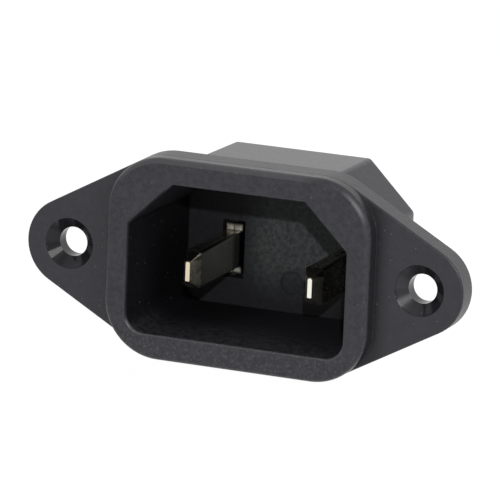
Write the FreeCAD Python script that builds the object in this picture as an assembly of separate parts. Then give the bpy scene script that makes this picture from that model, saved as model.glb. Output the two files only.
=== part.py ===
"""Two-pin panel inlet: one moulded housing with a screw flange, and two folded sheet contacts.

Frame: X to the right seen from the front, Z up, the front faces -Y. The origin is midway
between the two screw holes, on the flange's back face, which seats on the panel (Y = 0).
The mouth, collar and flange stand in front of the panel, the body behind it.
"""
import FreeCAD, Part
import math
import os

# Flange and screw holes
screw_pitch = 40.0
screw_hole_diameter = 3.2
countersink_diameter = 5.5
countersink_angle = 90.0
flange_thickness = 2.7
flange_end_radius = 4.9
flange_edge_radius = 0.2

# Cavity that takes the mating connector, at its mouth
mouth_width = 24.8
mouth_height = 16.5
mouth_top_flat = 15.0
mouth_chamfer_drop = 4.8
mouth_corner_radius = 2.1
mouth_bend_radius = 0.35
mouth_edge_radius = 0.3
cavity_depth = 16.5
cavity_draft = 0.35

# Collar round the mouth, in front of the flange: its front face is a rim of these widths
rim_width_beside = 2.6
rim_width_above = 2.75
collar_corner_radius = 6.2
collar_projection = 1.9
collar_edge_radius = 0.65
collar_foot_radius = 0.1

# Body behind the panel: its walls round the cavity, at the panel
wall_beside = 0.9
wall_above = 1.6
body_flat_margin = 0.4
body_chamfer_margin = 0.6
body_corner_radius = 2.6
body_edge_radius = 0.7
body_back_radius = 0.4
body_draft = 1.0
floor_thickness = 1.9

# Round mark of the mould's ejector on the cavity floor
ejector_diameter = 2.6
ejector_depth = 0.1
ejector_drop = 4.9

# Contacts: sheet folded along the blade's lower edge and pressed to a flat blade
contact_pitch = 14.0
contact_drop = 1.93
leaf_thickness = 0.95
seam_gap = 0.1
blade_height = 4.0
blade_edge_radius = 0.32
blade_setback = 3.85
tip_thickness = 0.48
tip_height = 2.12
tip_edge_radius = 0.08
tip_length = 1.3
closed_nose = 0.5
blade_rise = 0.1
shoulder_height = 5.8
shoulder_depth = 1.0
shoulder_recess = 0.15
shoulder_fillet = 0.55
shoulder_corner = 0.2
leaf_corner_radius = 0.22

# Quick-connect tabs behind the body
tab_width = 6.3
tab_thickness = 0.8
tab_length = 8.0
tab_tip_width = 4.6
tab_tip_thickness = 0.4
tab_tip_length = 0.9
tab_edge_radius = 0.1
tab_hole_diameter = 1.8
tab_hole_setback = 3.6

# Clearances of the contacts in the floor
pocket_play = 0.3
slot_play = 0.04

# Places worked out from the sizes above
flange_front = -flange_thickness
rim = flange_front - collar_projection
cavity_floor = rim + cavity_depth
body_back = cavity_floor + floor_thickness
collar_width = mouth_width + 2 * rim_width_beside
collar_height = mouth_height + 2 * rim_width_above
body_width = mouth_width + 2 * wall_beside
body_height = mouth_height + 2 * wall_above
body_top_flat = mouth_top_flat + 2 * body_flat_margin
body_chamfer_drop = mouth_chamfer_drop + body_chamfer_margin
blade_thickness = 2 * leaf_thickness + seam_gap
blade_tip = rim + blade_setback
blade_middle = blade_rise - contact_drop
shoulder_front = cavity_floor + shoulder_recess
shoulder_back = shoulder_front + shoulder_depth
leaf_offset = (seam_gap + leaf_thickness) / 2
overlap = 1.0


def point(x, y, z):
    return FreeCAD.Vector(x, y, z)


def rectangle(width, height, x=0.0, z=0.0):
    """Corners of an upright rectangle, anticlockwise seen from the front."""
    left, right = x - width / 2, x + width / 2
    low, high = z - height / 2, z + height / 2
    return [(right, low), (right, high), (left, high), (left, low)]


def inlet_shape(width, height, top_flat, chamfer_drop):
    """Corners of the rectangle whose two upper corners are cut off, anticlockwise."""
    side, top, half_flat = width / 2, height / 2, top_flat / 2
    shoulder = top - chamfer_drop
    right = [(side, -top), (side, shoulder), (half_flat, top)]
    return right + [(-x, z) for x, z in reversed(right)]


def inset(corners, distance):
    """The same convex shape with every side moved inwards by a distance."""
    moved = []
    for before, corner, after in zip(corners[-1:] + corners[:-1], corners, corners[1:] + corners[:1]):
        angle_in = math.atan2(corner[1] - before[1], corner[0] - before[0])
        angle_out = math.atan2(after[1] - corner[1], after[0] - corner[0])
        half_turn = (angle_out - angle_in) % (2 * math.pi) / 2
        middle = angle_in + half_turn + math.pi / 2
        reach = distance / math.cos(half_turn)
        moved.append((corner[0] + reach * math.cos(middle), corner[1] + reach * math.sin(middle)))
    return moved


def discs_in(corners, radii):
    """Discs (x, z, radius) that round the corners of a convex shape."""
    return [(*inset(corners, radius)[i], radius) for i, radius in enumerate(radii)]


def belt(discs, y):
    """Closed wire in the plane Y = y, stretched round discs that are listed anticlockwise."""
    spans = []
    for (xa, za, ra), (xb, zb, rb) in zip(discs, discs[1:] + discs[:1]):
        run = math.hypot(xb - xa, zb - za)
        normal = math.atan2(zb - za, xb - xa) - math.acos((ra - rb) / run)
        spans.append((normal, (xa, za, ra), (xb, zb, rb)))
    edges = []
    for (normal_in, _, _), (normal_out, disc, next_disc) in zip(spans[-1:] + spans[:-1], spans):
        turn = (normal_out - normal_in) % (2 * math.pi)
        if disc[2] > 0 and turn > 1e-9:
            places = [on_disc(disc, normal_in + share * turn, y) for share in (0, 0.5, 1)]
            edges.append(Part.Arc(*places).toShape())
        start, end = on_disc(disc, normal_out, y), on_disc(next_disc, normal_out, y)
        edges.append(Part.LineSegment(start, end).toShape())
    return Part.Wire(edges)


def on_disc(disc, angle, y):
    x, z, radius = disc
    return point(x + radius * math.cos(angle), y, z + radius * math.sin(angle))


def prism(discs, y_from, y_to):
    """Solid with one outline all along Y."""
    return Part.Face(belt(discs, y_from)).extrude(point(0, y_to - y_from, 0))


def taper(discs_from, y_from, discs_to, y_to):
    """Solid that runs straight from one outline to another of as many discs."""
    return Part.makeLoft([belt(discs_from, y_from), belt(discs_to, y_to)], True, True)


def box(x_from, x_to, y_from, y_to, z_from, z_to):
    return Part.makeBox(x_to - x_from, y_to - y_from, z_to - z_from, point(x_from, y_from, z_from))


def edges_in_plane(shape, y, half_width=math.inf, half_height=math.inf):
    """Edges that lie in the plane Y = y within a distance of the centre."""
    slack = 1e-4
    chosen = []
    for edge in shape.Edges:
        box_of = edge.BoundBox
        in_plane = abs(box_of.YMin - y) < slack and abs(box_of.YMax - y) < slack
        near = max(abs(box_of.XMin), abs(box_of.XMax)) < half_width + slack
        low = max(abs(box_of.ZMin), abs(box_of.ZMax)) < half_height + slack
        if in_plane and near and low:
            chosen.append(edge)
    return chosen


def collar_discs():
    return discs_in(rectangle(collar_width, collar_height), [collar_corner_radius] * 4)


def flange_discs(margin=0.0):
    """The collar's corners with a lug's round end between them at each side, all moved in by a margin."""
    lower_right, upper_right, upper_left, lower_left = collar_discs()
    right_lug = (screw_pitch / 2, 0.0, flange_end_radius)
    left_lug = (-screw_pitch / 2, 0.0, flange_end_radius)
    discs = [lower_right, right_lug, upper_right, upper_left, left_lug, lower_left]
    return [(x, z, radius - margin) for x, z, radius in discs]


def flange_with_collar():
    """The collar blends into the flange at the sides and is flush with it above and below."""
    big = 2 * screw_pitch
    plate = prism(discs_in(rectangle(big, big), [0] * 4), flange_front, 0)
    column = prism(collar_discs(), rim, 0)
    blank = plate.fuse(column).removeSplitter()
    foot = edges_in_plane(blank, flange_front, collar_width / 2, collar_height / 2)
    blank = blank.makeFillet(collar_foot_radius, foot)
    flange = prism(flange_discs(), flange_front, 0)
    flange = flange.makeFillet(flange_edge_radius, edges_in_plane(flange, flange_front))
    room_for_blend = prism(flange_discs(flange_edge_radius), rim, flange_front)
    trimmed = blank.common(flange.fuse([room_for_blend, column])).removeSplitter()
    return trimmed.makeFillet(collar_edge_radius, edges_in_plane(trimmed, rim))


def body_shell():
    """Tapered body behind the panel, closed at the back and still solid."""
    corners = inlet_shape(body_width, body_height, body_top_flat, body_chamfer_drop)
    radii = [body_corner_radius] + [body_edge_radius] * 4 + [body_corner_radius]
    shrink = body_back * math.tan(math.radians(body_draft))
    body = taper(discs_in(corners, radii), 0, discs_in(inset(corners, shrink), radii), body_back)
    return body.makeFillet(body_back_radius, edges_in_plane(body, body_back))


def cavity():
    """Room for the mating connector, a little narrower towards the floor."""
    corners = inlet_shape(mouth_width, mouth_height, mouth_top_flat, mouth_chamfer_drop)
    radii = [mouth_corner_radius] + [mouth_bend_radius] * 4 + [mouth_corner_radius]
    shrink = cavity_depth * math.tan(math.radians(cavity_draft))
    return taper(discs_in(corners, radii), rim, discs_in(inset(corners, shrink), radii), cavity_floor)


def screw_hole(x):
    """Countersunk hole through a lug, as a solid to cut away."""
    hole_radius, sink_radius = screw_hole_diameter / 2, countersink_diameter / 2
    sink_depth = (sink_radius - hole_radius) / math.tan(math.radians(countersink_angle / 2))
    into_lug = point(0, 1, 0)
    sink = Part.makeCone(sink_radius, hole_radius, sink_depth, point(x, flange_front, 0), into_lug)
    hole = Part.makeCylinder(hole_radius, flange_thickness + overlap, point(x, flange_front, 0), into_lug)
    return sink.fuse(hole)


def contact_slot(side):
    """Pocket for a contact's shoulder in the floor, and the slot for its tab behind the pocket."""
    x, tab_x = side * contact_pitch / 2, side * (contact_pitch / 2 + leaf_offset)
    pocket = rectangle(blade_thickness + 2 * pocket_play, tab_width + 2 * slot_play, x, -contact_drop)
    slot = rectangle(tab_thickness + 2 * slot_play, tab_width + 2 * slot_play, tab_x, -contact_drop)
    sharp = [0] * 4
    front = prism(discs_in(pocket, sharp), cavity_floor - overlap, shoulder_back)
    return front.fuse(prism(discs_in(slot, sharp), shoulder_back, body_back + overlap))


def ejector_mark():
    centre = point(0, cavity_floor - overlap, -ejector_drop)
    return Part.makeCylinder(ejector_diameter / 2, overlap + ejector_depth, centre, point(0, 1, 0))


def housing():
    """The one moulding: collar, flange, body and everything cut into them."""
    moulding = flange_with_collar().fuse(body_shell()).cut(cavity())
    mouth = edges_in_plane(moulding, rim, mouth_width / 2, mouth_height / 2)
    moulding = moulding.makeFillet(mouth_edge_radius, mouth)
    cuts = [ejector_mark()]
    cuts += [screw_hole(side * screw_pitch / 2) for side in (-1, 1)]
    cuts += [contact_slot(side) for side in (-1, 1)]
    for cut in cuts:
        moulding = moulding.cut(cut)
    return moulding.removeSplitter()


def blade(x):
    """The front of a contact: a bevelled nose and a flat blade with softened edges."""
    nose = discs_in(rectangle(tip_thickness, tip_height, x, blade_middle), [tip_edge_radius] * 4)
    section = discs_in(rectangle(blade_thickness, blade_height, x, blade_middle), [blade_edge_radius] * 4)
    bevel_end = blade_tip + tip_length
    inside = shoulder_front + shoulder_depth / 2
    return taper(nose, blade_tip, section, bevel_end).fuse(prism(section, bevel_end, inside))


def leaves(x, height, y_from, y_to):
    """The two leaves of the folded sheet side by side, each with softened corners."""
    stack = []
    for side in (-1, 1):
        leaf = rectangle(leaf_thickness, height, x + side * leaf_offset, -contact_drop)
        stack.append(prism(discs_in(leaf, [leaf_corner_radius] * 4), y_from, y_to))
    return stack[0].fuse(stack[1])


def shoulder_profile(x):
    """Side outline of the stop, with a hollow fillet up from each blade edge, as thick as the blade."""
    half, r, corner = shoulder_height / 2, shoulder_fillet, shoulder_corner
    bend, cut = r * (1 - math.sqrt(0.5)), corner * (1 - math.sqrt(0.5))
    front, back = shoulder_front, shoulder_back

    def place(y, z):
        return point(x - blade_thickness / 2, y, z)

    edges, roots = [], []
    for up in (1, -1):
        root = blade_middle + up * (blade_height / 2 - blade_edge_radius)
        crest = up * half - contact_drop
        hollow = [(front - r, root), (front - bend, root + up * bend), (front, root + up * r)]
        nose = [(front, crest - up * corner), (front + cut, crest - up * cut), (front + corner, crest)]
        edges.append(Part.Arc(*[place(*spot) for spot in hollow]).toShape())
        edges.append(Part.LineSegment(place(*hollow[2]), place(*nose[0])).toShape())
        edges.append(Part.Arc(*[place(*spot) for spot in nose]).toShape())
        edges.append(Part.LineSegment(place(*nose[2]), place(back, crest)).toShape())
        roots.append(root)
    upper, lower = half - contact_drop, -half - contact_drop
    edges.append(Part.LineSegment(place(back, upper), place(back, lower)).toShape())
    edges.append(Part.LineSegment(place(front - r, roots[0]), place(front - r, roots[1])).toShape())
    outline = Part.Wire(Part.__sortEdges__(edges))
    return Part.Face(outline).extrude(point(blade_thickness, 0, 0))


def shoulder(x):
    """The wider stop of both leaves that sits in the pocket."""
    sheet = leaves(x, shoulder_height, shoulder_front - shoulder_fillet, shoulder_back)
    return shoulder_profile(x).common(sheet)


def seam(x):
    """Gap between the two leaves, open above along the blade and behind."""
    top, bottom = blade_height / 2 + overlap, blade_height / 2 - leaf_thickness
    start = blade_tip + tip_length + closed_nose
    left, right = x - seam_gap / 2, x + seam_gap / 2
    return box(left, right, start, shoulder_back, blade_middle - bottom, blade_middle + top)


def tab(x):
    """Quick-connect tab: flat, bevelled at its end on all four sides, with a locking hole."""
    body = discs_in(rectangle(tab_thickness, tab_width, x, -contact_drop), [tab_edge_radius] * 4)
    end = discs_in(rectangle(tab_tip_thickness, tab_tip_width, x, -contact_drop), [tab_edge_radius] * 4)
    tip_y = body_back + tab_length
    bevel_y = tip_y - tab_tip_length
    blank = prism(body, shoulder_back, bevel_y).fuse(taper(body, bevel_y, end, tip_y))
    hole_centre = point(x - overlap, tip_y - tab_hole_setback, -contact_drop)
    return blank.cut(Part.makeCylinder(tab_hole_diameter / 2, 2 * overlap, hole_centre, point(1, 0, 0)))


def contact(side):
    """One folded contact; the tab carries on from the leaf farther from the middle."""
    x = side * contact_pitch / 2
    front = blade(x).fuse(shoulder(x)).cut(seam(x))
    return front.fuse(tab(x + side * leaf_offset)).removeSplitter()


def export(shape, node):
    solid = shape.Solids[0]
    solid.exportStep("parts/" + node + ".step")
    print(node, "solids", len(shape.Solids), "valid", solid.isValid(), "volume", round(solid.Volume, 2))


os.makedirs("parts", exist_ok=True)
export(housing(), "housing")
export(contact(-1), "line_contact")
export(contact(1), "neutral_contact")
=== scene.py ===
# %% [markdown]
# # Two-pin panel inlet socket
# A mains inlet for the back of an appliance: one moulding of black plastic with a screw
# flange, and two plated contacts in it. The CAD model already holds every form at its true
# size, so this notebook makes no new mesh: it gives each surface its finish, sets a studio
# round the part and places the camera. The first cell loads the part and measures it.

# %% load the part
import math

import bpy
from mathutils import Matrix, Vector


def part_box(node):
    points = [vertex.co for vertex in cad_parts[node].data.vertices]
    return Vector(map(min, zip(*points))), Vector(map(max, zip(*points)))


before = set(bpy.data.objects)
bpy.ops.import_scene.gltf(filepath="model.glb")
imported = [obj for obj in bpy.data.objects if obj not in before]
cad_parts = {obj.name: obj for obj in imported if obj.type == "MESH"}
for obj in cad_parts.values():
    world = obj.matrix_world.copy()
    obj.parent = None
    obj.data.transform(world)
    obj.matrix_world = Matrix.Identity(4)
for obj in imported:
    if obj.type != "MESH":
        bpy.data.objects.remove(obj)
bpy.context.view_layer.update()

mm = 0.001
for node in sorted(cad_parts):
    low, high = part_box(node)
    print(node, "measures", [round(side / mm, 1) for side in high - low], "mm")

# %% [markdown]
# ## Camera
# A small part seen from half a metre through a long lens looks almost parallel, with only a
# trace of perspective. The camera stands on a sphere round a point near the flange's middle,
# given by two angles and a distance, and rolls a little, as a hand-held camera does. Its axes
# go straight into a matrix, so there is no tracking constraint to work out.

# %% camera
flange_front = -2.7 * mm
aim = Vector((0.85 * mm, flange_front, 1.95 * mm))
distance = 557.2 * mm


def viewing_axes(azimuth, elevation, roll=0.0):
    """Right, up and backward unit vectors. Backward points from the part to the viewer."""
    azimuth, elevation, roll = (math.radians(angle) for angle in (azimuth, elevation, roll))
    flat = math.cos(elevation)
    back = Vector((math.sin(azimuth) * flat, -math.cos(azimuth) * flat, math.sin(elevation)))
    right = Vector((0, 0, 1)).cross(back).normalized()
    up = back.cross(right)
    turned_right = right * math.cos(roll) + up * math.sin(roll)
    turned_up = up * math.cos(roll) - right * math.sin(roll)
    return turned_right, turned_up, back


def stand_at(name, data, axes, place):
    """Put a camera or lamp at a place, looking against its backward axis."""
    thing = bpy.data.objects.new(name, data)
    thing.matrix_world = Matrix.Translation(place) @ Matrix(axes).transposed().to_4x4()
    bpy.context.scene.collection.objects.link(thing)
    return thing


camera_axes = viewing_axes(azimuth=21.98, elevation=13.47, roll=2.31)
camera_data = bpy.data.cameras.new("camera")
camera_data.sensor_width = 36.0
camera_data.lens = 380.7
camera = stand_at("camera", camera_data, camera_axes, aim + camera_axes[2] * distance)
bpy.context.scene.camera = camera
camera_place = [round(value / mm) for value in camera.matrix_world.translation]
print("camera stands at", camera_place, "mm from the origin")

# %% [markdown]
# ## Node maths
# A material is a small program of boxes and wires, and placing them by hand hides the sums.
# Here one class stands for a wire: adding or multiplying two wires adds the Math node that
# does it. A second class stands for the sheet that the nodes lie on. Its node method makes
# any other node, and a few short methods built on it name the patterns used most.

# %% wires
class Wire:
    """One output of a node. Arithmetic on it adds a Math node and gives that node's output."""

    def __init__(self, sheet, socket):
        self.sheet = sheet
        self.socket = socket

    def math(self, operation, *values):
        sockets = dict(enumerate(values))
        return self.sheet.node("ShaderNodeMath", {"operation": operation}, sockets)

    def __add__(self, other):
        return self.math("ADD", self, other)

    def __radd__(self, other):
        return self.math("ADD", other, self)

    def __sub__(self, other):
        return self.math("SUBTRACT", self, other)

    def __rsub__(self, other):
        return self.math("SUBTRACT", other, self)

    def __mul__(self, other):
        return self.math("MULTIPLY", self, other)

    def __rmul__(self, other):
        return self.math("MULTIPLY", other, self)

    def __abs__(self):
        return self.math("ABSOLUTE", self)

    def at_least(self, other):
        """The larger of this and another value."""
        return self.math("MAXIMUM", self, other)


# %% sheets
class Sheet:
    """The node tree of a material or a world, emptied and ready to be drawn on."""

    def __init__(self, owner):
        owner.use_nodes = True
        self.tree = owner.node_tree
        self.tree.nodes.clear()

    def node(self, kind, settings, sockets, output=0):
        """Make a node from its settings and each socket's value or wire. Gives one output."""
        node = self.tree.nodes.new(kind)
        for name, value in settings.items():
            setattr(node, name, value)
        for name, value in sockets.items():
            if isinstance(value, Wire):
                self.tree.links.new(value.socket, node.inputs[name])
            else:
                node.inputs[name].default_value = value
        return Wire(self, node.outputs[output]) if node.outputs else None

    def rise(self, value, low, high):
        """0 where a value is below low, 1 above high, and a smooth rise between them."""
        sockets = {"Value": value, "From Min": low, "From Max": high}
        return self.node("ShaderNodeMapRange", {"interpolation_type": "SMOOTHSTEP"}, sockets)

    def band(self, value, low, high, edge):
        """1 between low and high, fading to 0 over an edge outside them."""
        return self.rise(value, low - edge, low) * (1 - self.rise(value, high, high + edge))

    def blend(self, share, first, second):
        """A colour between two, by a share from 0 to 1."""
        sockets = {0: share, 6: first, 7: second}
        return self.node("ShaderNodeMix", {"data_type": "RGBA"}, sockets, output=2)

    def distance(self, place, other):
        """How far a place is from another."""
        settings = {"operation": "DISTANCE"}
        return self.node("ShaderNodeVectorMath", settings, {0: place, 1: other}, output="Value")

    def noise(self, place, size, detail=2.0):
        """Soft noise about 0.5, with features of a size in millimetres."""
        sockets = {"Vector": place, "Scale": 1 / size, "Detail": detail}
        return self.node("ShaderNodeTexNoise", {}, sockets)

    def stretch(self, place, x=1.0, y=1.0, z=1.0):
        """The same place drawn out along an axis, so that a pattern read there becomes lines."""
        scale = (1 / x, 1 / y, 1 / z)
        return self.node("ShaderNodeMapping", {}, {"Vector": place, "Scale": scale})

    def specks(self, place, spacing, radius, share):
        """Round specks on a share of the cells of a lattice, 1 at their middle and 0 outside."""
        cell = {"Vector": place, "Scale": 1 / spacing}
        away = self.node("ShaderNodeTexVoronoi", {}, cell, output="Distance")
        number = self.node("ShaderNodeTexVoronoi", {}, cell, output="Color")
        number = self.node("ShaderNodeSeparateColor", {}, {0: number})
        chosen = number.math("GREATER_THAN", number, 1 - share)
        return (1 - self.rise(away, 0.3 * radius / spacing, radius / spacing)) * chosen

    def layers(self, base, tints):
        """A base colour with tints laid over it in turn, each by its share."""
        for share, tint in tints:
            base = self.blend(share, base, tint)
        return base

    def report(self, stage):
        print(stage, "done,", len(self.tree.nodes), "nodes so far")


# %% places and colours
def object_place(sheet):
    """Place on the part in millimetres, whole and as its three parts."""
    metres = sheet.node("ShaderNodeTexCoord", {}, {}, output="Object")
    scaled = {0: metres, "Scale": 1 / mm}
    place = sheet.node("ShaderNodeVectorMath", {"operation": "SCALE"}, scaled)
    parts = [sheet.node("ShaderNodeSeparateXYZ", {}, {0: place}, output=axis) for axis in "XYZ"]
    return place, *parts


def colour(red, green, blue):
    return (red, green, blue, 1.0)


def grey(level, blue):
    """A grey whose blue differs a little from its red and green."""
    return colour(level, level, blue)


# %% [markdown]
# ## Studio
# Black plastic has hardly any colour of its own. What is seen on it is mostly the white room
# mirrored in its skin: weakly where a face looks at the camera, strongly where it is seen at a
# grazing angle. So the room is plain white to the camera, to reflections and to anything seen
# through, and softer for the light it casts. Two lamps shape the part: a small key near the
# camera, whose edge draws the rim's shadow inside the cavity, and a softbox to the right.

# %% white room
scene = bpy.context.scene
scene.view_settings.view_transform = "Standard"


def shown(sheet):
    """1 for a camera ray, a reflection or something seen through, 0 for a ray that lights."""
    seen = sheet.node("ShaderNodeLightPath", {}, {}, output="Is Camera Ray")
    for name in ("Is Glossy Ray", "Is Transmission Ray"):
        seen = seen.at_least(sheet.node("ShaderNodeLightPath", {}, {}, output=name))
    return seen


room_level = 0.55
room = bpy.data.worlds.new("white_room")
scene.world = room
sheet = Sheet(room)
white = sheet.node("ShaderNodeBackground", {}, {"Color": grey(1, 1), "Strength": 1.0})
fill = sheet.node("ShaderNodeBackground", {}, {"Color": grey(1, 1), "Strength": room_level})
surroundings = sheet.node("ShaderNodeMixShader", {}, {0: shown(sheet), 1: fill, 2: white})
sheet.node("ShaderNodeOutputWorld", {}, {"Surface": surroundings})
print("room is seen at 1.0 and lights the part at", room_level)

# %% lamps
def area_lamp(name, azimuth, elevation, away, size, watts):
    """A round lamp in a direction from the part, facing it."""
    data = bpy.data.lights.new(name, "AREA")
    data.shape = "DISK"
    data.size = size
    data.energy = watts
    axes = viewing_axes(azimuth, elevation)
    stand_at(name, data, axes, axes[2] * away)
    level = watts / (math.pi * away) ** 2
    print(name, "adds", round(level, 2), "of a white card's brightness")


area_lamp("key_lamp", azimuth=22.5, elevation=20, away=1.5, size=0.03, watts=13.5)
area_lamp("softbox", azimuth=59, elevation=33, away=1.2, size=0.5, watts=4.6)

# %% [markdown]
# ## Floor
# In use the part hangs by its flange, so it is shown held in the air, with a pale floor below
# that catches its soft shadow. A little light that only the camera and reflections see lifts
# the floor to the white of the room, and leaves the shadow on it.

# %% floor
floor_drop = 70 * mm
half_side = 3.0
signs = ((-1, -1), (1, -1), (1, 1), (-1, 1))
floor_mesh = bpy.data.meshes.new("floor")
corners = [(x * half_side, y * half_side, -floor_drop) for x, y in signs]
floor_mesh.from_pydata(corners, [], [(0, 1, 2, 3)])
floor = bpy.data.objects.new("floor", floor_mesh)
scene.collection.objects.link(floor)

floor_paint = bpy.data.materials.new("floor_paint")
sheet = Sheet(floor_paint)
floor_level, lift_level = 0.5, 0.66
matt = sheet.node("ShaderNodeBsdfDiffuse", {}, {"Color": grey(floor_level, floor_level)})
glow = {"Color": grey(1, 1), "Strength": shown(sheet) * lift_level}
lift = sheet.node("ShaderNodeEmission", {}, glow)
paint = sheet.node("ShaderNodeAddShader", {}, {0: matt, 1: lift})
sheet.node("ShaderNodeOutputMaterial", {}, {"Surface": paint})
floor_mesh.materials.append(floor_paint)
print("floor lies", round(floor_drop / mm), "mm below the screw holes")

# %% [markdown]
# ## Black moulding
# The housing is one shot of filled black thermoplastic, and each part of the mould leaves its
# own skin on it. The outside was spark-eroded and is finely grained. The grain is kept shallow
# on the body behind the flange, where a deep one would glitter in a lamp mirrored at a grazing
# angle. Painted highlights lie on the collar's edge, the flange's edges, the mouth's lips and
# specks on the lower rim. Painted shade lies on the collar's sides, on the flange beside it and
# on the mouth's left lip. The walls of the cavity were dragged along the core as it drew out,
# and are dull; their colour holds painted shade, lighter near the mouth and darker deep inside.
# The cavity's floor has a pale mottled bloom, whose fade to the left and the bottom is painted
# light, a painted shadow in its lower right corner, and the round mark of an ejector. The
# countersinks were polished, apart from a few dull sectors; the lighter colour of some sectors
# and of half of the right countersink is a painted reflection. The finish could be painted on an
# image, or the mesh cut into pieces with a material each. Here each zone is a mask worked out
# from the place on the part instead, so the mesh stays whole, the zones meet exactly at the
# edges, and no image is needed.

# %% zones of the cavity
flange_face = flange_front / mm
rim, cavity_floor, pocket_floor = -4.6, 11.9, 13.05
mouth_side, mouth_top, mouth_slant = 12.4, 8.25, 11.15
slant_across, slant_up = 0.70, 0.714

moulding = bpy.data.materials.new("black_moulding")
sheet = Sheet(moulding)
place, x, y, z = object_place(sheet)
beside = abs(x)
within_sides = 1 - sheet.rise(beside, mouth_side + 0.1, mouth_side + 0.2)
within_height = 1 - sheet.rise(abs(z), mouth_top + 0.1, mouth_top + 0.2)
slant = slant_across * beside + slant_up * z
within_slant = 1 - sheet.rise(slant, mouth_slant + 0.15, mouth_slant + 0.3)
in_outline = within_sides * within_height * within_slant
in_cavity = in_outline * sheet.band(y, rim + 0.4, pocket_floor, 0.2)
on_floor = in_outline * sheet.band(y, cavity_floor - 0.1, pocket_floor, 0.1)
on_wall = in_cavity * (1 - on_floor)
on_side_wall = on_wall * sheet.rise(beside, mouth_side - 1.0, mouth_side - 0.1)
on_lip = in_outline * sheet.band(y, rim + 0.02, rim + 0.4, 0.02)
sheet.report("zones of the cavity")

# %% zones of the outside
outside = 1 - in_outline
on_low_rim = sheet.band(y, rim - 0.1, rim + 0.4, 0.1) * (1 - sheet.rise(z, -8.2, -6.0))
on_collar_edge = outside * sheet.band(y, rim + 0.02, rim + 0.5, 0.02)
on_collar_side = outside * sheet.band(y, rim + 0.45, flange_face - 0.02, 0.02)
on_collar_foot = outside * sheet.band(y, flange_face - 0.12, flange_face - 0.02, 0.02)
on_flange = sheet.band(y, flange_face - 0.01, flange_face + 0.15, 0.01)
on_flange_edge = sheet.band(y, flange_face + 0.15, 0.0, 0.02)
on_body = outside * sheet.rise(y, 0.05, 0.1)
on_body_slant = on_body * sheet.band(beside, 8.2, 13.0, 0.2) * sheet.rise(z, 4.4, 4.7)
sheet.report("zones of the outside")

# %% screw holes
screw_place, countersink_radius, hole_radius = 20.0, 2.75, 1.6
sectors = 7
offset = x - screw_place * x.math("SIGN", x)
around_hole = sheet.node("ShaderNodeCombineXYZ", {}, {"X": offset, "Z": z})
from_axis = sheet.distance(around_hole, (0.0, 0.0, 0.0))
in_hole = 1 - sheet.rise(from_axis, countersink_radius, countersink_radius + 0.06)
on_cone = sheet.band(from_axis, hole_radius + 0.04, countersink_radius, 0.04)
wave = 0.5 - 0.5 * x.math("COSINE", sectors * offset.math("ARCTAN2", offset, z))
dull_sector = on_cone * (1 - sheet.rise(wave, 0.0, 0.6))
outer_half = sheet.rise(offset, -1.0, 1.0)
# left half of the right countersink: rougher, and lighter in colour as a painted reflection
rough_lit_cone_half = on_cone * sheet.rise(x, 0.0, 1.0) * (1 - sheet.rise(offset, -1.5, 0.5))
sheet.report("screw holes")

# %% patterns on the moulding
ejector_drop, ejector_radius = 4.9, 1.3
grain = sheet.noise(place, size=0.22, detail=3.0)
cloud = sheet.noise(place, size=0.6, detail=4.0)
mottle = sheet.noise(place, size=0.50, detail=4.0)
drag = sheet.noise(sheet.stretch(place, y=4.0), size=0.5, detail=4.0)
dust = sheet.specks(place, spacing=1.0, radius=0.13, share=0.6)
dust = dust * on_wall * (0.35 + 0.65 * on_side_wall)
fleck = sheet.specks(place, spacing=0.7, radius=0.10, share=0.35) * (1 - in_cavity)
# painted highlights: small light specks on the lower rim and its lip
rim_highlight_specks = sheet.specks(place, spacing=0.40, radius=0.22, share=0.8) * on_low_rim
from_ejector = sheet.distance(place, (0.0, cavity_floor, -ejector_drop))
in_mark = 1 - sheet.rise(from_ejector, ejector_radius - 0.1, ejector_radius + 0.1)
on_ring = sheet.band(from_ejector, ejector_radius - 0.1, ejector_radius + 0.05, 0.2)
ejector = 0.50 * in_mark + 0.35 * on_ring
# painted shadow of the right blade on the floor's lower right corner
shadowed_floor_corner = sheet.rise(x, 4.0, 5.5) * (1 - sheet.rise(z, -6.0, -4.5))
# the floor's pale mottled bloom; its fade to the left and the bottom is painted light
mottled_haze_and_light = on_floor * sheet.rise(x, -6.5, -2.5) * sheet.rise(z, -8.0, -1.0)
mottled_haze_and_light = mottled_haze_and_light * (1 - ejector) * (1 - 0.6 * shadowed_floor_corner)
sheet.report("patterns")

# %% skin of the moulding
relief_depth, mean_roughness = 0.04 * mm, 0.33
relief = (1 - in_cavity) * (1 - in_hole) * (0.5 * grain + cloud)
relief = relief * (1 - 0.6 * on_collar_edge) * (1 - 0.5 * on_flange) * (1 - 0.6 * on_body)
relief = relief + 0.5 * on_wall * (drag + cloud) + 0.5 * on_floor * mottle
skin_depth = {"Strength": 1.0, "Distance": relief_depth, "Height": relief}
bump = sheet.node("ShaderNodeBump", {}, skin_depth)
roughness = mean_roughness + 0.10 * (cloud - 0.5)
roughness = roughness + 0.09 * on_flange_edge + 0.04 * on_collar_edge - 0.035 * on_body
roughness = roughness + 0.25 * in_cavity - 0.30 * in_hole * (1 - 0.5 * rough_lit_cone_half)
sheet.report("skin")

# %% colour of the outside
tone = sheet.rise(0.6 * cloud + 0.4 * grain, 0.35, 0.65)
# painted shade on the flange beside the collar's right side
collar_shade = sheet.rise(x, 12.0, 14.0) * (1 - sheet.rise(x, 15.0, 17.2))
above_bottom = sheet.rise(z, -7.0, -5.0)
# painted highlight on the mouth's right lip
right_mouth_light = on_lip * sheet.rise(x, 10.5, 11.5) * above_bottom
# painted shade on the mouth's left lip
left_mouth_shade = on_lip * (1 - sheet.rise(x, -9.0, -7.5)) * sheet.rise(z, -7.5, -6.5)
# painted highlights on the flange's edges and on the mouth's lower and right lips
edge_light = 0.8 * on_flange_edge + 0.9 * on_lip * (1 - above_bottom) + 0.6 * right_mouth_light
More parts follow.
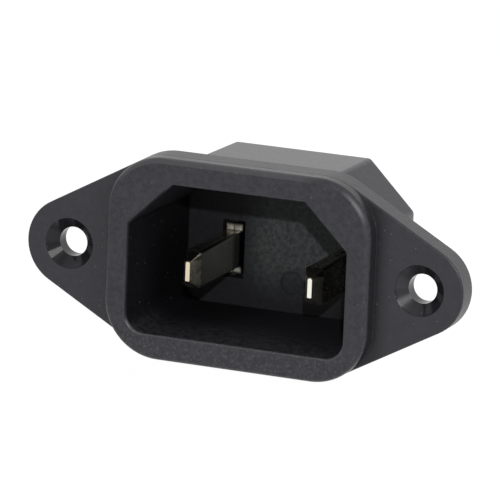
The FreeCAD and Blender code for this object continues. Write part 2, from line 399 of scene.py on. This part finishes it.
# painted highlight along the collar's upper front edge
upper_rim_highlight = on_collar_edge * sheet.rise(z, 7.5, 9.5) * (1 - sheet.rise(x, 6.5, 9.5))
# painted highlight on the rounded edge of the collar's upper right corner
corner_highlight = on_collar_edge * (1 - sheet.rise(y, rim + 0.12, rim + 0.28))
corner_highlight = corner_highlight * sheet.rise(x, 11.5, 12.5) * sheet.rise(z, 6.5, 8.0)
# painted reflection: lighter colour on dull sectors of the outer half and on half of the right
# cone
painted_reflection = (0.45 * rough_lit_cone_half).at_least(0.6 * dull_sector * outer_half)
even_tone = tone + 0.6 * on_flange * (0.5 - tone)
dark_plastic, light_plastic = grey(0.022, 0.026), grey(0.034, 0.039)
# a painted shade colour, a painted highlight colour, then the polished holes' own colour
shade_grey, highlight_grey, polished = grey(0.006, 0.007), grey(0.050, 0.053), grey(0.011, 0.013)
outer_base = sheet.blend(even_tone, dark_plastic, light_plastic)
outer_tints = (
    # painted shade: on the flange beside the collar, and on the collar's sides
    (0.6 * collar_shade * on_flange, shade_grey),
    (0.5 * on_collar_side, shade_grey),
    # painted highlight on the flange's edges and the mouth's lips
    (edge_light, highlight_grey),
    # painted highlight on the collar's upper edge
    (0.6 * upper_rim_highlight, grey(0.060, 0.062)),
    # painted highlight on the collar's corner
    (0.6 * corner_highlight, grey(0.070, 0.073)),
    # painted shade on the mouth's left lip
    (0.7 * left_mouth_shade, grey(0.004, 0.005)),
    # the polished holes' own darker colour, left off where the reflection is painted
    (in_hole * (1 - painted_reflection), polished),
)
outer_base = sheet.layers(outer_base, outer_tints)
sheet.report("outer colour")

# %% colour of the cavity
# darkest on the side walls, with set levels for the upper and lower walls
# painted light and shade on the cavity walls: lighter near the mouth, darker deep inside,
near_mouth = 1 - sheet.rise(y, -4.0, 6.0)
upper = sheet.rise(z, -2.0, 2.0)
upper_wall_light = upper * (0.9 - 0.4 * sheet.rise(x, -5.0, 0.0))
lower_wall_light = (1 - upper) * 0.3 * sheet.rise(x, -8.0, 3.0)
level = (upper_wall_light + lower_wall_light) * (1 - near_mouth) + near_mouth * (0.1 + 0.8 * tone)
dark_wall, light_wall = grey(0.003, 0.004), grey(0.025, 0.029)
wall = sheet.blend(level * (1 - 0.9 * on_side_wall), dark_wall, light_wall)
speckle = sheet.rise(0.65 * mottle + 0.35 * grain, 0.34, 0.66)
clean = sheet.blend(speckle, grey(0.0045, 0.0060), grey(0.0080, 0.0100))
pale = sheet.blend(speckle, colour(0.017, 0.020, 0.021), colour(0.046, 0.051, 0.051))
cavity_tints = (
    # the walls' colour, holding its painted shade
    (on_wall, wall),
    (on_floor, clean),
    # painted light: the floor's top band, where the rim's shadow falls, is lightened
    (0.5 * on_floor * sheet.rise(z, 4.0, 6.0), grey(0.016, 0.018)),
    # painted shadow on the floor's lower right corner
    (0.6 * on_floor * shadowed_floor_corner, grey(0.002, 0.002)),
    # pale bloom, with its fade painted as light
    (mottled_haze_and_light, pale),
    (0.8 * dust, grey(0.09, 0.085)),
    (0.6 * fleck, grey(0.12, 0.11)),
    # painted highlight specks on the lower rim
    (0.18 * rim_highlight_specks, grey(0.12, 0.12)),
)
base = sheet.layers(outer_base, cavity_tints)
sheet.report("cavity colour")

# %% [markdown]
# The plastic is one material with two skins, a glossier and a duller one. Raising the
# roughness alone would still leave a white haze where a wall is seen at a grazing angle, so
# the dull zones mix in a second shader that hardly reflects.

# %% two skins of one plastic
glossier = {"Base Color": base, "Roughness": roughness, "IOR": 1.5, "Normal": bump}
glossier["Specular Tint"] = grey(0.4, 0.4)
duller = {"Base Color": base, "Roughness": 0.9, "Specular IOR Level": 0.05, "Normal": bump}
dull_share = 0.7 * on_wall + dull_sector * (0.5 + 0.35 * outer_half) + 0.9 * on_collar_foot
dull_share = dull_share + 0.6 * left_mouth_shade + 0.28 * on_body_slant
skin = sheet.node("ShaderNodeBsdfPrincipled", {}, glossier)
dull_skin = sheet.node("ShaderNodeBsdfPrincipled", {}, duller)
surface = sheet.node("ShaderNodeMixShader", {}, {0: dull_share, 1: skin, 2: dull_skin})
sheet.node("ShaderNodeOutputMaterial", {}, {"Surface": surface})
sheet.report(moulding.name)

# %% [markdown]
# ## Plated contacts
# Each contact is brass sheet under a thin bright plating. Metal has no colour but its
# reflections, so the sides of a blade mirror the dark cavity and only the faces turned to the
# room are bright. The sheet was rolled across the blade, which leaves faint upright lines.
# Use rubs the plating off the tip. On the upper edge, on the upper bevel and near the floor the
# plating is painted almost black, as painted shade and the dark cavity painted as its
# reflection; the ridges between the bevels and the edge of the shoulder hold painted shade too.
# Each contact could have a material of its own, but they differ only in wear, so one function
# makes both.

# %% masks on a contact
contact_place, blade_middle = 7.0, -1.83
tip_half_wide, tip_half_high = 0.24, 1.06
blade_tip, bevel_end, shoulder_start, shoulder_end = -0.75, 0.55, 11.2, 13.0


def nose_mask(sheet, y):
    return 1 - sheet.rise(y, bevel_end - 0.1, bevel_end + 0.1)


def before_tab(sheet, y):
    return 1 - sheet.rise(y, shoulder_end, shoulder_end + 0.1)


def shoulder_mask(sheet, y):
    return sheet.rise(y, shoulder_start, shoulder_start + 0.6) * before_tab(sheet, y)


def painted_shade_share(sheet, y, z, from_middle):
    """Share of painted shade: along the upper edge, on the upper bevel and beside the foot."""
    on_upper_edge = sheet.rise(from_middle, 0.6, 0.9) * sheet.rise(z - 0.03 * y, -0.20, -0.05)
    on_upper_edge = on_upper_edge * (1 - sheet.rise(y, 8.0, 10.0))
    by_foot = sheet.rise(from_middle, 0.90, 0.96) * sheet.rise(y, 9.0, 10.0)
    by_foot = by_foot * before_tab(sheet, y)
    on_upper_bevel = nose_mask(sheet, y) * sheet.rise(z, -0.75, -0.6)
    return on_upper_edge.at_least(by_foot).at_least(0.8 * on_upper_bevel)


def ridge_and_shoulder_shade(sheet, y, z, from_middle):
    """Share of painted shade: on the ridges between the bevels and round the edge of the
    shoulder.
    """
    from_tip = y - blade_tip
    half_wide = tip_half_wide + 0.585 * from_tip
    half_high = tip_half_high + 0.723 * from_tip
    ridge = sheet.rise(from_middle - half_wide, -0.14, -0.06)
    ridge = ridge * sheet.rise(z - blade_middle - half_high, -0.14, -0.06)
    below, above = 1 - sheet.rise(z, -4.60, -4.35), sheet.rise(z, 0.50, 0.85)
    border = below.at_least(above).at_least(sheet.rise(from_middle, 0.72, 0.97))
    return nose_mask(sheet, y) * ridge + shoulder_mask(sheet, y) * border


# %% plated sheet
def plated_sheet(name, wear):
    """Plated brass, worn to the brass by a share on the tip."""
    plating = bpy.data.materials.new(name)
    sheet = Sheet(plating)
    place, x, y, z = object_place(sheet)
    from_middle = abs(abs(x) - contact_place)
    lines = sheet.noise(sheet.stretch(place, z=20.0), size=0.18, detail=3.0)
    film = sheet.rise(sheet.noise(place, size=1.2, detail=4.0), 0.3, 0.75)
    on_tip = 1 - sheet.rise(y, blade_tip + 0.02, blade_tip + 0.08)
    on_shoulder = shoulder_mask(sheet, y)
    # painted shade and painted dark reflection on the plating
    plating_shade = painted_shade_share(sheet, y, z, from_middle)
    bright, cloudy = colour(0.70, 0.68, 0.59), colour(0.46, 0.435, 0.37)
    plated_tip, brass_tip = colour(0.81, 0.795, 0.71), colour(0.585, 0.505, 0.34)
    tints = (
        (on_tip, sheet.blend(wear, plated_tip, brass_tip)),
        # painted shade: near black where the plating mirrors the dark cavity
        (0.9 * plating_shade, colour(0.15, 0.14, 0.11)),
        # painted shade on the ridges between the bevels and round the shoulder's edge
        (0.85 * ridge_and_shoulder_shade(sheet, y, z, from_middle), colour(0.02, 0.018, 0.015)),
    )
    base = sheet.layers(sheet.blend(0.5 * film + 0.5 * lines, bright, cloudy), tints)
    roughness = 0.20 + 0.05 * (1 - wear) + 0.06 * film + 0.03 * nose_mask(sheet, y)
    roughness = roughness + 0.10 * on_shoulder - 0.08 * plating_shade
    relief = lines + 20 * on_shoulder * film
    line_depth = {"Strength": 1.0, "Distance": 0.001 * mm, "Height": relief}
    bump = sheet.node("ShaderNodeBump", {}, line_depth)
    finish = {"Base Color": base, "Metallic": 1.0, "Roughness": roughness, "Normal": bump}
    surface = sheet.node("ShaderNodeBsdfPrincipled", {}, finish)
    sheet.node("ShaderNodeOutputMaterial", {}, {"Surface": surface})
    sheet.report(name)
    return plating


# %% finishes on the parts
finishes = {
    "housing": moulding,
    "line_contact": plated_sheet("rubbed_plating", wear=0.85),
    "neutral_contact": plated_sheet("fresh_plating", wear=0.1),
}
for name, material in finishes.items():
    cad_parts[name].material_slots[0].material = material
    print(name, "is finished with", material.name)
